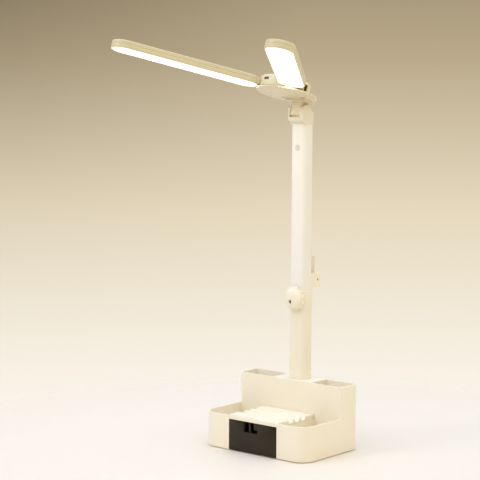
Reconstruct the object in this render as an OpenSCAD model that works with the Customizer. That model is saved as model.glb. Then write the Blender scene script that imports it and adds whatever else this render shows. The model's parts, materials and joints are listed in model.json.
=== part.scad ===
// Desk lamp with two swivelling light wings on a telescopic post, standing on an organizer base with
// a drawer. Millimetres, Z up, the drawer faces -Y. The origin is the centre of the underside.

/* [Base] */
// Width of the base
base_w = 170; // [156:1:210]
// Depth of the base from front to back
base_d = 112; // [108:1:130]
// Height of the low tray's rim above the table
tray_h = 46; // [42:1:60]
// Height of the raised tier with the cups
tier_h = 87; // [78:1:120]
// Depth of the raised tier from front to back
tier_d = 36; // [34:0.5:42]
// Corner radius at the front of the base
front_r = 19; // [10:0.5:24]
// Corner radius at the back of the base and of the tier
back_r = 5.8; // [3.5:0.1:8]
// Wall thickness of the base mouldings
wall = 2.4; // [2:0.1:2.8]
// Inner width of the closed chamber between the two cups
chamber_w = 59.8; // [58:0.2:68]
// Height of the cups' floor above the table
cup_floor_z = 27; // [24:0.5:34]
// Thickness of the rubber pad under the base
pad_t = 1; // [0.6:0.1:2]
// Distance from the base's outline to the pad
pad_margin = 6; // [4:0.5:12]
// Thickness of the bottom cover
cover_t = 2; // [1.6:0.1:2.6]
// Gap round the bottom cover
cover_gap = 0.2; // [0.1:0.05:0.5]
// Thickness of the steel ballast plate
ballast_t = 4.5; // [3:0.1:5.5]
// Gap between the ballast plate and the walls round it
ballast_gap = 3; // [1:0.5:6]
// Free height above the ballast plate
ballast_air = 0.4; // [0.2:0.1:1]

/* [Device rest] */
// Width of the grooved platform over the drawer
rest_w = 82.6; // [76:0.2:92]
// Height of the platform above the tray's rim
rest_over = 1; // [0:0.2:3]
// Thickness of the platform
rest_t = 6.2; // [6:0.1:7.5]
// Depth of the grooves that hold a phone or a tablet
groove_depth = 4.6; // [4:0.1:5.2]
// Width of a groove at its floor
groove_floor = 4.6; // [4.4:0.1:6]
// Width of a groove at its mouth
groove_mouth = 10.6; // [9:0.1:11.6]
// Distance from groove to groove
groove_pitch = 13; // [12.4:0.1:16]
// Number of grooves
groove_n = 3; // [1:1:3]
// Distance from the front of the platform to the first groove's middle
groove_first = 25; // [18:0.5:28]

/* [Drawer] */
// Height of the strip of wall over the drawer opening
lintel_h = 4.5; // [3:0.1:6]
// Height of the drawer front's lower edge above the table
front_z = 1.4; // [1.2:0.1:4]
// Gap round the drawer front
front_gap = 0.8; // [0.3:0.1:0.9]
// Part of the drawer front that overlaps each bay wall
front_lap = 0; // [0:0.1:1]
// Wall thickness of the drawer box
box_wall = 1.8; // [1.4:0.1:2.4]
// Length of the drawer box from front to back
box_l = 70; // [64:1:71]
// How far the drawer slides out
drawer_travel = 60; // [40:1:60]
// Width of the finger notch in the drawer front
notch_w = 21.8; // [16:0.2:28]
// Height of the finger notch
notch_h = 13.2; // [10:0.1:16]
// Place of the notch's middle, counted to the right
notch_x = -3.3; // [-8:0.1:8]
// Width of the rib that stands in the notch of the box behind it
notch_rib = 3.3; // [2:0.1:4]
// Width of the lip that covers the right end of that notch
notch_lip = 7.1; // [4:0.1:8]
// Height of the gap left under the lip
lip_gap = 4; // [2:0.1:6]
// Width and height of a drawer runner
runner_w = 2.2; // [1.8:0.1:2.6]
// Height of a drawer runner
runner_h = 3.4; // [2.4:0.1:5]
// Height of the runner's top above the table
runner_z = 17; // [14:0.5:24]
// Sliding gap round the drawer
slide_air = 0.5; // [0.3:0.1:0.8]

/* [Post] */
// Place of the post, counted to the right of the base's middle
post_x = 2.4; // [-3:0.1:3]
// Width of the lower post tube
post_w = 27; // [25:0.5:30]
// Depth of the lower post tube
post_d = 22; // [20:0.5:24]
// Corner radius of the lower post tube
post_r = 7.5; // [6:0.5:9]
// Wall thickness of both post tubes
tube_t = 0.8; // [0.7:0.1:1]
// Gap between the upper tube and the lower tube
tube_gap = 0.3; // [0.2:0.05:0.4]
// Distance from the post's back to the back of the base
post_back = 5; // [4.4:0.1:7]
// Height of the lower tube above the deck
lower_rise = 119; // [100:1:150]
// Height of the clamp collar
collar_h = 23; // [20:1:30]
// Wall thickness of the clamp collar
collar_t = 0.6; // [0.5:0.1:1]
// Length of the upper tube that shows above the collar
upper_rise = 216; // [180:1:260]
// Length of the upper tube inside the lower tube
upper_hidden = 150; // [130:1:150]
// How far the upper tube can be pulled up
post_travel = 100; // [60:1:100]

/* [Clamp knob] */
// Radius of the knob's grip
knob_r = 16; // [13:0.5:18]
// Thickness of the grip
knob_t = 4; // [3:0.1:6]
// Height of the knob's crown in front of the grip
crown_h = 5.5; // [4:0.1:8]
// Number of scallops round the grip
flute_n = 12; // [8:1:16]
// Radius of a scallop
flute_r = 2.2; // [1.5:0.1:2.8]
// Radius of the collar's boss behind the knob
boss_r = 9; // [7:0.5:10]
// Length of the collar's boss
boss_l = 0.6; // [0.4:0.1:10]
// Radius of the clamp screw
clamp_r = 2.5; // [2:0.1:3]

/* [Hook] */
// Width of the hook bracket
bracket_w = 14.4; // [12:0.2:18]
// Height of the hook bracket
bracket_h = 19; // [16:0.5:22]
// How far the bracket stands out behind the post
bracket_l = 22.2; // [20:0.2:28]
// Thickness of each cheek of the bracket
cheek_t = 2; // [1.6:0.1:3]
// Length of the hook arm above its pin
hook_l = 32; // [26:0.5:40]
// Thickness of the hook arm
hook_t = 3.4; // [2.4:0.1:4]
// Radius of the hook's knuckle
knuckle_r = 4.4; // [3.8:0.1:5]
// Radius of the hook pin
hook_pin_r = 1.5; // [1.2:0.1:2]

/* [Head joint] */
// Width of the fork on top of the post
head_w = 24.8; // [24:0.2:28]
// Radius of the fork's drum
drum_r = 10.4; // [10:0.1:11]
// Distance of the tilt axis in front of the post's middle
tilt_fwd = 7; // [6:0.1:8]
// Height of the tilt axis above the upper tube
tilt_rise = 12; // [11.5:0.1:14]
// Width of the tongue between the fork's cheeks
tongue_w = 14.8; // [12:0.2:16]
// Radius of the tongue's round end
tongue_r = 8; // [7:0.1:8.4]
// Radius of the tilt pin
tilt_pin_r = 3; // [2.5:0.1:4]
// Thickness of a friction washer
washer_t = 0.5; // [0.4:0.1:0.8]
// Tilt of the hub at rest, front edge up, in degrees
rest_tilt = 17; // [0:1:25]

/* [Hub] */
// Radius of the hub's lower disc
hub_r = 39.4; // [38.2:0.1:42]
// Thickness of the hub's lower disc
disc_t = 2.4; // [2:0.1:2.5]
// Radius of the hub cover
puck_r = 33.2; // [32.4:0.1:34]
// Distance of the cover's middle in front of the disc's middle
puck_fwd = 7; // [5:0.1:7]
// Height of the hub above its underside
hub_h = 16.3; // [15.9:0.1:20]
// Wall thickness of the hub cover
hub_wall = 2; // [1.6:0.1:2.2]
// Distance from the tilt axis forward to the hub's middle
hub_reach = 33.8; // [33:0.2:36]
// Distance from the tilt axis up to the hub's underside
hub_up = 18.1; // [17.6:0.1:20]
// Width of the hub's back platform
platform_w = 36; // [34:0.5:40]
// Height of the platform above the hub's underside
platform_h = 7.5; // [6.5:0.1:9]
// Height of the pad under the platform
pad_drop = 2.5; // [1:0.1:3]
// Sideways distance of each wing pivot from the hub's middle
pivot_x = 18.5; // [18.3:0.1:20]
// Distance of the wing pivots in front of the hub's middle
pivot_fwd = 10.7; // [9:0.1:12]
// Radius of a wing pivot's shank
pivot_r = 3; // [2.5:0.1:3.5]

/* [Wings] */
// Length of a wing
wing_l = 197.5; // [160:0.5:240]
// Width of a wing
wing_w = 36; // [30:0.5:36]
// Thickness of a wing
wing_t = 10.3; // [9.8:0.1:10.8]
// Height of a wing above the hub's underside
wing_lift = 2.7; // [2.7:0.1:3.2]
// Angle of each wing from straight ahead at rest, in degrees
wing_spread = 32; // [30:1:60]
// Distance from a wing's pivot to its near end
wing_gap = 19; // [18.6:0.1:24]
// Width of a wing's neck
neck_w = 26; // [20:0.5:26]
// Thickness of a wing's neck
neck_t = 8.2; // [6:0.1:8.4]
// Wall thickness of a wing's mouldings
wing_wall = 1.6; // [1.2:0.1:2]
// Thickness of the diffuser
diffuser_t = 1.5; // [1:0.1:1.6]
// Thickness of the light guide
guide_t = 2.4; // [1.6:0.1:2.6]
// Thickness of a printed circuit board
board_t = 1; // [0.8:0.1:1.2]

/* [Hidden] */
$fn = 64;
// Least corner radius of an outline that is drawn in
least_r = 0.8;
// Overrun of every cut past the face that it opens
over = 1;
ivory = [0.95, 0.92, 0.84];
smoke = [0.12, 0.10, 0.08];
steel = [0.72, 0.72, 0.74];
board_green = [0.10, 0.32, 0.20];
glow = [1.0, 0.97, 0.88];

// Heights in the base, from the table up
cover_z = pad_t;
ballast_z = cover_z + cover_t;
floor_z = ballast_z + ballast_t + ballast_air;
well_z = floor_z + wall;
rest_top = tray_h + rest_over;
rest_z = rest_top - rest_t;
front_h = tray_h - lintel_h - front_gap - front_z;
front_air = 0.3;
front_t = wall - front_air;
box_floor_air = 0.4;
box_z = floor_z + box_floor_air;
tab_air = 0.5;
box_rim_drop = 2.5;
box_rim_z = rest_z - box_rim_drop;
deck_z = tier_h - wall;

// Places across and along the base
front_y = -base_d / 2;
back_y = base_d / 2;
tier_y = back_y - tier_d;
bay_w = rest_w - 2 * wall;
front_w = bay_w + 2 * front_lap;
box_w = bay_w - 2 * runner_w - 2 * slide_air;
flange_w = (bay_w - box_w) / 2 - slide_air;
flange_t = 2;
// Inner edges of the right cup and the left cup, each counted outwards
cup_x = [chamber_w / 2 + wall + post_x, chamber_w / 2 + wall - post_x];
rest_y = front_y + wall;
rest_l = tier_y - rest_y;
box_y = front_y + front_t;

// The post's place and its heights
post_y = back_y - post_back - post_d / 2;
post_z = floor_z;
lower_top = tier_h + lower_rise;
collar_z = lower_top - collar_h;
inset_t = tube_t + tube_gap;
upper_w = post_w - 2 * inset_t;
upper_d = post_d - 2 * inset_t;
upper_r = post_r - inset_t;
upper_z = lower_top - upper_hidden;
upper_top = lower_top + upper_rise;
collar_front = post_y - post_d / 2 - collar_t;
upper_front = post_y - upper_d / 2;
upper_back = post_y + upper_d / 2;
knob_z = collar_z + collar_h / 2;
knob_air = 0.4;
knob_back = collar_front - boss_l - knob_air;

// The screws in the base
boss_hole_r = 1.5;
cover_boss_r = 3.4;
boss_air = 0.6;
head_r = 2.8;
head_t = 1.1;
screw_reach = 5;
cover_boss_x = base_w / 2 - wall - cover_boss_r;
front_boss_x = (rest_w / 2 + base_w / 2 - wall) / 2;
front_boss_y = (front_y + tier_y) / 2;
back_boss_y = back_y - wall - cover_boss_r;
boss_places = [[-front_boss_x, front_boss_y], [front_boss_x, front_boss_y],
    [-cover_boss_x, back_boss_y], [cover_boss_x, back_boss_y]];

// The board, the battery and the inlet
standoff_h = 4;
standoff_r = 2.4;
pcb_air = 1;
// Widths of the rooms under the right cup and the left cup
room_w = [for (x = cup_x) base_w / 2 - wall - x];
pcb_l = room_w[0] - 4 * cover_boss_r - 2 * pcb_air;
pcb_d = 22;
pcb_z = ballast_z + standoff_h;
pcb_x = cup_x[0] + room_w[0] / 2;
pcb_hole_in = 3;
usb_w = 9;
usb_h = 3.4;
usb_l = 8;
usb_wall = 0.4;
usb_z = pcb_z + board_t;
pcb_y = back_y - wall - pcb_d / 2 - usb_wall;
pcb_screw_l = 3;
battery_air = 2.6;
battery_l = room_w[1] - 4 * cover_boss_r;
battery_x = -cup_x[1] - room_w[1] / 2;
battery_d = tier_d - 2 * wall - 2 * battery_air;
battery_h = 14;
battery_r = 4;

// The post socket under the deck
socket_w = 52;
socket_d = 2 * (back_y - wall - cover_gap - post_y);
socket_h = 30;
socket_air = 0.2;
socket_screw_x = 20;
socket_screw_l = 14;

// The tilt joint and the hub frame
tilt_y = post_y - tilt_fwd;
tilt_z = upper_top + tilt_rise;
fork_air = 0.3;
fork_gap = tongue_w + 2 * washer_t + 2 * fork_air;
web_drop = 2;
back_rise = 4;
cheek_share = 0.58;
cheek_rise = cheek_share * (hub_up - pad_drop - drum_r);
cap_r = 4.6;
cap_t = 1.2;
pin_air = 0.05;
seat_air = 0.02;
plug_air = 0.1;
plug_l = 12;
fork_corner = 4;
washer_r = 7;

// The wings' heights above the hub's underside
neck_lift = wing_lift + (wing_t - neck_t) / 2;
split_share = 0.52;
frame_t = wing_t * split_share;
ledge_t = 0.8;
ledge_w = 1.2;
part_air = 0.1;
slot_air = 0.7;
slot_back = 0;
neck_bite = wing_w / 2 - sqrt(pow(wing_w / 2 - wing_wall, 2) - pow(neck_w / 2, 2)) + over;
pivot_head_r = 5.2;
pivot_head_t = 1.2;
pivot_air = 0.3;

// The drawer's stop, its screws and the board's screws
lug_w = 10;
lug_t = 2;
lug_h = 2;
lug_y = box_y + box_l - box_wall - drawer_travel - slide_air - lug_t;
tab_w = 40;
notch_z = front_z + front_h - notch_h;
rib_left = 4.5;
pcb_screw_r = 0.9;
screw_height_share = 0.4;
front_screw_r = 1.2;
front_screw_z = box_z + (box_rim_z - box_z) * screw_height_share;
front_screw_in = 8;
front_screw_x = box_w / 2 - front_screw_in;
front_screw_l = 3;
front_screw_head = 2.2;
front_screw_head_t = 1;

// The knob's scallops and its eyelet
flute_out_share = 0.45;
eyelet_turn = 215;
eyelet_at = 8.5;
eyelet_r = 1.3;

// The touch key, the light beside it and their board
key_r = 4.2;
key_drop = 30;
key_z = upper_top - key_drop;
key_stem = 2;
lamp_r = 0.8;
lamp_drop = 20;
lamp_z = upper_top - lamp_drop;
touch_y = upper_front + tube_t + key_stem;
touch_h = 18;
touch_below = 7;

// The slide plug and the head's screw
plug_rim = 2;
head_screw_z = upper_top - plug_l / 2;
head_screw_l = 6;

// The hook's bracket and pin
bracket_foot = 0.8;
bracket_base_t = 3;
hook_pin_edge = 1;
hook_pin_in = 0.4;
hook_y = upper_back + bracket_l - knuckle_r - hook_pin_edge;
hook_z = lower_top + bracket_foot + bracket_h / 2;
bracket_screw_z = [lower_top + bracket_foot + bracket_h / 4, lower_top + bracket_foot + bracket_h * 3 / 4];

// The hub's tongue, bosses, board and window
tongue_back = 3.8;
tongue_front = 9.6;
tongue_low = 2;
platform_r = 5;
platform_front = 4;
platform_back = 40.4;
pad_front = 18;
pivot_seat = 1.4;
hub_boss_r = 3.2;
hub_boss_h = 2;
hub_screw_x = 16;
hub_screw_back = 14;
hub_screw_places = [[-hub_screw_x, hub_screw_back], [hub_screw_x, hub_screw_back]];
hub_pcb_w = 24;
hub_pcb_d = 14;
hub_pcb_y = 2;
window_x = -4.9;
window_w = 8.4;
window_h = 3.4;
window_z = 10.6;
window_in = 2.6;
window_t = 1.6;

// Helpers
module rounded(w, d, r) {
    square([w - 2 * r, d], center = true);
    square([w, d - 2 * r], center = true);
    for (x = [-1, 1], y = [-1, 1]) translate([x * (w / 2 - r), y * (d / 2 - r)]) circle(r);
}
// Outline of the base, drawn in by a distance on all sides
module plan(inset) {
    w = base_w / 2 - inset;
    lo = front_y + inset;
    hi = back_y - inset;
    fr = front_r - inset;
    br = max(back_r - inset, least_r);
    translate([-w + fr, lo]) square([2 * (w - fr), fr]);
    translate([-w, lo + fr]) square([2 * w, hi - lo - fr - br]);
    translate([-w + br, hi - br]) square([2 * (w - br), br]);
    for (side = [-1, 1]) {
        translate([side * (w - fr), lo + fr]) circle(fr);
        translate([side * (w - br), hi - br]) circle(br);
    }
}
// Outline of the raised tier
module tier_plan(inset) {
    translate([0, back_y - tier_d / 2]) rounded(base_w - 2 * inset, tier_d - 2 * inset, back_r - inset);
}
module tube(w, d, r, t, h) {
    difference() {
        linear_extrude(h) rounded(w, d, r);
        translate([0, 0, -over]) linear_extrude(h + 2 * over) rounded(w - 2 * t, d - 2 * t, r - t);
    }
}
module rod_x(r, l) { rotate([0, 90, 0]) cylinder(r = r, h = l, center = true); }
// A rod that runs from a point towards the front
module rod_front(r, l) { rotate([90, 0, 0]) cylinder(r = r, h = l); }
module screw(r, l, hr, ht) {
    cylinder(r = r, h = l);
    cylinder(r = hr, h = ht);
}
// Moves a piece that is drawn on the middle plane to the post's plane
module at_post() { translate([post_x, 0, 0]) children(); }
// Half plane to the right of x, between two depths
module band(x, y0, y1) { translate([x, y0]) square([base_w, y1 - y0]); }

// Base body
module base_shell() {
    color(ivory) difference() {
        union() {
            translate([0, 0, pad_t]) linear_extrude(tray_h - pad_t) plan(0);
            translate([0, 0, pad_t]) linear_extrude(tier_h - pad_t) tier_plan(0);
        }
        // Room for the bottom cover and the ballast plate
        translate([0, 0, -over]) linear_extrude(floor_z + over) difference() {
            plan(wall);
            for (p = boss_places) translate(p) circle(cover_boss_r);
        }
        translate([0, 0, -over]) linear_extrude(ballast_z + over) plan(wall);
        // Tray wells, cups and the rooms under the cups
        for (side = [0, 1]) mirror([side, 0, 0]) {
            translate([0, 0, well_z]) linear_extrude(tier_h) intersection() {
                plan(wall);
                band(rest_w / 2, front_y, tier_y);
            }
            translate([0, 0, cup_floor_z]) linear_extrude(tier_h) intersection() {
                tier_plan(wall);
                band(cup_x[side], tier_y, back_y);
            }
            translate([0, 0, -over]) linear_extrude(cup_floor_z - wall + over) difference() {
                intersection() {
                    tier_plan(wall);
                    band(cup_x[side], tier_y, back_y);
                }
                translate([cover_boss_x, back_boss_y]) circle(cover_boss_r);
            }
        }
        // Drawer bay with its opening, and the seat of the device rest
        translate([-bay_w / 2, rest_y, floor_z - over]) cube([bay_w, rest_l, tray_h]);
        translate([-rest_w / 2, rest_y, rest_z]) cube([rest_w, rest_l, tray_h]);
        translate([-front_w / 2 - front_gap, front_y - over, front_z - front_gap])
            cube([front_w + 2 * front_gap, wall + 2 * over, front_h + 2 * front_gap]);
        // Chamber for the post, and the post's hole in the deck
        at_post() translate([-chamber_w / 2, tier_y + wall, -over])
            cube([chamber_w, tier_d - 2 * wall, deck_z + over]);
        at_post() translate([0, post_y, 0]) linear_extrude(tier_h + over)
            rounded(post_w + 2 * socket_air, post_d + 2 * socket_air, post_r + socket_air);
        // Screw holes and the power inlet
        for (p = boss_places) translate([p[0], p[1], -over])
            cylinder(r = boss_hole_r, h = ballast_z + screw_reach + 2 * over);
        translate([pcb_x, back_y - wall / 2, usb_z + usb_h / 2])
            cube([usb_w + 2 * socket_air, wall + 2 * over, usb_h + 2 * socket_air], center = true);
    }
}

module device_rest() {
    y0 = rest_y + cover_gap;
    l = rest_l - 2 * cover_gap;
    groove_z = rest_top - groove_depth;
    color(ivory) difference() {
        union() {
            translate([-rest_w / 2, y0, rest_z]) cube([rest_w, l, rest_t]);
            // Stop lug for the drawer's back tab
            translate([-lug_w / 2, lug_y, rest_z - lug_h]) cube([lug_w, lug_t, lug_h]);
        }
        for (i = [0:groove_n - 1]) translate([0, y0 + groove_first + i * groove_pitch, groove_z])
            rotate([90, 0, 90]) translate([0, 0, -rest_w / 2 - over]) linear_extrude(rest_w + 2 * over)
                polygon([[-groove_floor / 2, 0], [groove_floor / 2, 0], [groove_mouth / 2, groove_depth],
                    [groove_mouth / 2, groove_depth + over], [-groove_mouth / 2, groove_depth + over],
                    [-groove_mouth / 2, groove_depth]]);
    }
}

module bottom_cover() {
    color(ivory) difference() {
        union() {
            translate([0, 0, cover_z]) linear_extrude(cover_t) plan(wall + cover_gap);
            for (x = [-1, 1], y = [-1, 1]) translate([pcb_x + x * (pcb_l / 2 - pcb_hole_in),
                pcb_y + y * (pcb_d / 2 - pcb_hole_in), ballast_z]) cylinder(r = standoff_r, h = standoff_h);
        }
        for (p = boss_places) translate([p[0], p[1], 0]) {
            cylinder(r = boss_hole_r + socket_air, h = ballast_z + over);
            cylinder(r = head_r + socket_air, h = cover_z + head_t);
        }
        at_post() for (x = [-1, 1]) translate([x * socket_screw_x, post_y, 0]) {
            cylinder(r = boss_hole_r + socket_air, h = ballast_z + over);
            cylinder(r = head_r + socket_air, h = cover_z + head_t);
        }
        for (x = [-1, 1], y = [-1, 1]) translate([pcb_x + x * (pcb_l / 2 - pcb_hole_in),
            pcb_y + y * (pcb_d / 2 - pcb_hole_in), ballast_z])
            cylinder(r = pcb_screw_r, h = standoff_h + over);
    }
}

module ballast_plate() {
    color(steel) translate([0, 0, ballast_z]) linear_extrude(ballast_t) difference() {
        intersection() {
            plan(wall + ballast_gap);
            translate([-base_w / 2, front_y]) square([base_w, base_d - tier_d - wall]);
        }
        for (p = boss_places) translate(p) circle(cover_boss_r + boss_air);
    }
}

module grip_pad() {
    color("dimgray") linear_extrude(pad_t) plan(pad_margin);
}

module cover_screws() {
    color(steel) for (p = boss_places) translate([p[0], p[1], cover_z])
        screw(boss_hole_r, cover_t + screw_reach, head_r, head_t);
}

module drawer_runners() {
    color(ivory) for (side = [0, 1]) mirror([side, 0, 0])
        translate([bay_w / 2 - runner_w, rest_y + slide_air, runner_z - runner_h])
            cube([runner_w, rest_l - slide_air, runner_h]);
}

module post_socket() {
    color(ivory) at_post() difference() {
        translate([-socket_w / 2, post_y - socket_d / 2, ballast_z]) cube([socket_w, socket_d, socket_h]);
        translate([0, post_y, post_z]) linear_extrude(socket_h)
            rounded(post_w + 2 * socket_air, post_d + 2 * socket_air, post_r + socket_air);
        for (x = [-1, 1]) translate([x * socket_screw_x, post_y, 0])
            cylinder(r = boss_hole_r, h = cover_z + socket_screw_l + over);
    }
}

module socket_screws() {
    color(steel) at_post() for (x = [-1, 1]) translate([x * socket_screw_x, post_y, cover_z])
        screw(boss_hole_r, socket_screw_l, head_r, head_t);
}

module battery_pack() {
    color("royalblue") translate([battery_x, (tier_y + back_y) / 2, ballast_z])
        linear_extrude(battery_h) rounded(battery_l, battery_d, battery_r);
}

module control_board() {
    color(board_green) difference() {
        translate([pcb_x - pcb_l / 2, pcb_y - pcb_d / 2, pcb_z]) cube([pcb_l, pcb_d, board_t]);
        for (x = [-1, 1], y = [-1, 1]) translate([pcb_x + x * (pcb_l / 2 - pcb_hole_in),
            pcb_y + y * (pcb_d / 2 - pcb_hole_in), pcb_z - over])
            cylinder(r = pcb_screw_r + socket_air, h = board_t + 2 * over);
    }
}

module board_screws() {
    color(steel) for (x = [-1, 1], y = [-1, 1]) translate([pcb_x + x * (pcb_l / 2 - pcb_hole_in),
        pcb_y + y * (pcb_d / 2 - pcb_hole_in), pcb_z + board_t]) {
        translate([0, 0, -board_t - pcb_screw_l]) cylinder(r = pcb_screw_r, h = board_t + pcb_screw_l);
        cylinder(r = standoff_r - socket_air, h = board_t);
    }
}

module usb_port() {
    color(steel) difference() {
        translate([pcb_x - usb_w / 2, back_y - usb_l, usb_z]) cube([usb_w, usb_l, usb_h]);
        translate([pcb_x - usb_w / 2 + usb_wall, back_y - usb_l + usb_wall, usb_z + usb_wall])
            cube([usb_w - 2 * usb_wall, usb_l, usb_h - 2 * usb_wall]);
    }
}

module lower_post() {
    color(ivory) at_post() difference() {
        translate([0, post_y, post_z]) tube(post_w, post_d, post_r, tube_t, lower_top - post_z);
        translate([0, post_y, knob_z]) rod_front(clamp_r + tube_gap, post_d);
    }
}

module clamp_collar() {
    color(ivory) at_post() difference() {
        union() {
            translate([0, post_y, collar_z]) linear_extrude(collar_h)
                rounded(post_w + 2 * collar_t, post_d + 2 * collar_t, post_r + collar_t);
            translate([0, post_y - post_d / 2, knob_z]) rod_front(boss_r, collar_t + boss_l);
        }
        translate([0, post_y, collar_z - over]) linear_extrude(collar_h + 2 * over)
            rounded(post_w, post_d, post_r);
        translate([0, post_y, knob_z]) rod_front(clamp_r + pin_air, post_d + boss_l);
    }
}

// Drawer body
module drawer_box() {
    tab_z = rest_z - tab_air;
    back_wall = box_y + box_l - box_wall;
    color(smoke) {
        difference() {
            translate([-box_w / 2, box_y, box_z]) cube([box_w, box_l, box_rim_z - box_z]);
            translate([-box_w / 2 + box_wall, box_y + box_wall, box_z + box_wall])
                cube([box_w - 2 * box_wall, box_l - 2 * box_wall, tray_h]);
            notch(box_y - over, box_wall + 2 * over);
            for (x = [-1, 1]) translate([x * front_screw_x, box_y + box_wall + over, front_screw_z])
                rod_front(front_screw_r + seat_air, box_wall + 2 * over);
        }
        // Flanges that ride on the runners, and the tab that meets the stop lug
        for (side = [0, 1]) mirror([side, 0, 0])
            translate([box_w / 2, box_y + slide_air, runner_z + slide_air])
                cube([flange_w, box_l - slide_air, flange_t]);
        translate([-tab_w / 2, back_wall, box_rim_z]) cube([tab_w, box_wall, tab_z - box_rim_z]);
    }
}

// Rib and lip that are bonded into the notch of the box
module notch_ribs() {
    rib_h = rest_z - tab_air - notch_z;
    color(smoke) {
        translate([notch_x - rib_left, box_y, notch_z]) cube([notch_rib, box_wall, rib_h]);
        translate([notch_x + notch_w / 2 - notch_lip, box_y, notch_z + lip_gap])
            cube([notch_lip, box_wall, rib_h - lip_gap]);
    }
}

// The finger notch, open at the top
module notch(y, l) {
    translate([notch_x - notch_w / 2, y, notch_z]) cube([notch_w, l, notch_h + over]);
}

module drawer_front() {
    color(smoke) difference() {
        translate([-front_w / 2, front_y, front_z]) cube([front_w, front_t, front_h]);
        notch(front_y - over, front_t + 2 * over);
        for (x = [-1, 1]) translate([x * front_screw_x, front_y + front_t + over, front_screw_z])
            rod_front(front_screw_r + seat_air, front_screw_l - box_wall + over);
    }
}

module front_screws() {
    color(steel) for (x = [-1, 1]) translate([x * front_screw_x, box_y + box_wall, front_screw_z]) {
        rod_front(front_screw_r, front_screw_l);
        translate([0, front_screw_head_t, 0]) rod_front(front_screw_head, front_screw_head_t);
    }
}

// Clamp body
module clamp_knob() {
    color(ivory) at_post() translate([0, knob_back, knob_z]) rotate([90, 0, 0]) difference() {
        union() {
            cylinder(r = knob_r, h = knob_t);
            rotate_extrude() crown();
        }
        for (i = [0:flute_n - 1]) rotate([0, 0, i * 360 / flute_n])
            translate([knob_r + flute_r * flute_out_share, 0, -over])
                cylinder(r = flute_r, h = knob_t + 2 * over);
        rotate([0, 0, eyelet_turn]) translate([eyelet_at, 0, knob_t]) cylinder(r = eyelet_r, h = crown_h);
        translate([0, 0, -over]) cylinder(r = clamp_r + seat_air, h = knob_t + over);
    }
}
// Half outline of the knob's crown, a low dome on the grip
module crown() {
    r = knob_r - flute_r;
    steps = 8;
    polygon(concat([[0, 0], [r, 0], [r, knob_t]],
        [for (i = [1:steps]) [r * cos(i * 90 / steps), knob_t + crown_h * sin(i * 90 / steps)]]));
}

module clamp_screw() {
    tip_y = post_y - post_d / 2 + tube_t;
    color(steel) at_post() translate([0, tip_y, knob_z]) rod_front(clamp_r, tip_y - knob_back + knob_t);
}

// Upper post body
module upper_post() {
    color(ivory) at_post() difference() {
        translate([0, post_y, upper_z]) tube(upper_w, upper_d, upper_r, tube_t, upper_top - upper_z);
        translate([0, post_y, key_z]) rod_front(key_r + seat_air, post_d);
        translate([0, post_y, lamp_z]) rod_front(lamp_r + seat_air, post_d);
        for (z = bracket_screw_z) translate([0, upper_back + over, z])
            rod_front(front_screw_r + seat_air, tube_t + 2 * over);
        translate([0, upper_back + over, head_screw_z])
            rod_front(front_screw_r + seat_air, tube_t + 2 * over);
    }
}

module slide_plug() {
    color("dimgray") at_post() translate([0, post_y, 0]) {
        translate([0, 0, upper_z]) linear_extrude(plug_l)
            rounded(upper_w - 2 * tube_t - 2 * plug_air, upper_d - 2 * tube_t - 2 * plug_air,
                upper_r - tube_t - plug_air);
        translate([0, 0, upper_z - plug_rim]) linear_extrude(plug_rim) rounded(upper_w, upper_d, upper_r);
    }
}

module post_head() {
    foot_z = upper_top;
    color(ivory) at_post() difference() {
        union() {
            intersection() {
                union() {
                    for (rise = [0, cheek_rise]) translate([0, tilt_y, tilt_z + rise]) rod_x(drum_r, head_w);
                    translate([-head_w / 2, tilt_y - drum_r, tilt_z]) cube([head_w, 2 * drum_r, cheek_rise]);
                    translate([-head_w / 2, post_y - upper_d / 2, foot_z])
                        cube([head_w, upper_d, tilt_z + back_rise - foot_z]);
                }
                translate([0, (tilt_y - drum_r + upper_back) / 2, foot_z])
                    linear_extrude(tilt_rise + drum_r + cheek_rise)
                        rounded(head_w, upper_back - tilt_y + drum_r, fork_corner);
            }
            translate([0, post_y, foot_z - plug_l]) linear_extrude(plug_l)
                rounded(upper_w - 2 * tube_t - 2 * plug_air, upper_d - 2 * tube_t - 2 * plug_air,
                    upper_r - tube_t - plug_air);
        }
        // Gap for the tongue: a round pocket, open upwards from the web
        translate([0, tilt_y, tilt_z]) rod_x(norm([tongue_front, tongue_low]) + fork_air, fork_gap);
        translate([-fork_gap / 2, tilt_y - post_d, tilt_z - web_drop])
            cube([fork_gap, 2 * post_d, tilt_rise + drum_r]);
        translate([0, tilt_y, tilt_z]) rod_x(tilt_pin_r + seat_air, head_w + 2 * over);
        for (side = [-1, 1]) translate([side * (head_w / 2 - cap_t / 2 + over / 2), tilt_y, tilt_z])
            rod_x(cap_r + seat_air, cap_t + over);
        translate([0, upper_back, head_screw_z]) rod_front(front_screw_r, head_screw_l);
    }
}

module head_screws() {
    color(steel) at_post() translate([0, upper_back, head_screw_z]) {
        rod_front(front_screw_r, head_screw_l);
        translate([0, front_screw_head_t, 0]) rod_front(front_screw_head, front_screw_head_t);
    }
}

module touch_board() {
    w = upper_w - 2 * upper_r;
    color(board_green) at_post() translate([-w / 2, touch_y, key_z - touch_below])
        cube([w, board_t, touch_h]);
}

module touch_key() {
    color("gainsboro") at_post() translate([0, touch_y, key_z]) rod_front(key_r, tube_t + key_stem);
}

module indicator_light() {
    color(glow) at_post() translate([0, touch_y, lamp_z]) rod_front(lamp_r, tube_t + key_stem);
}

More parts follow.
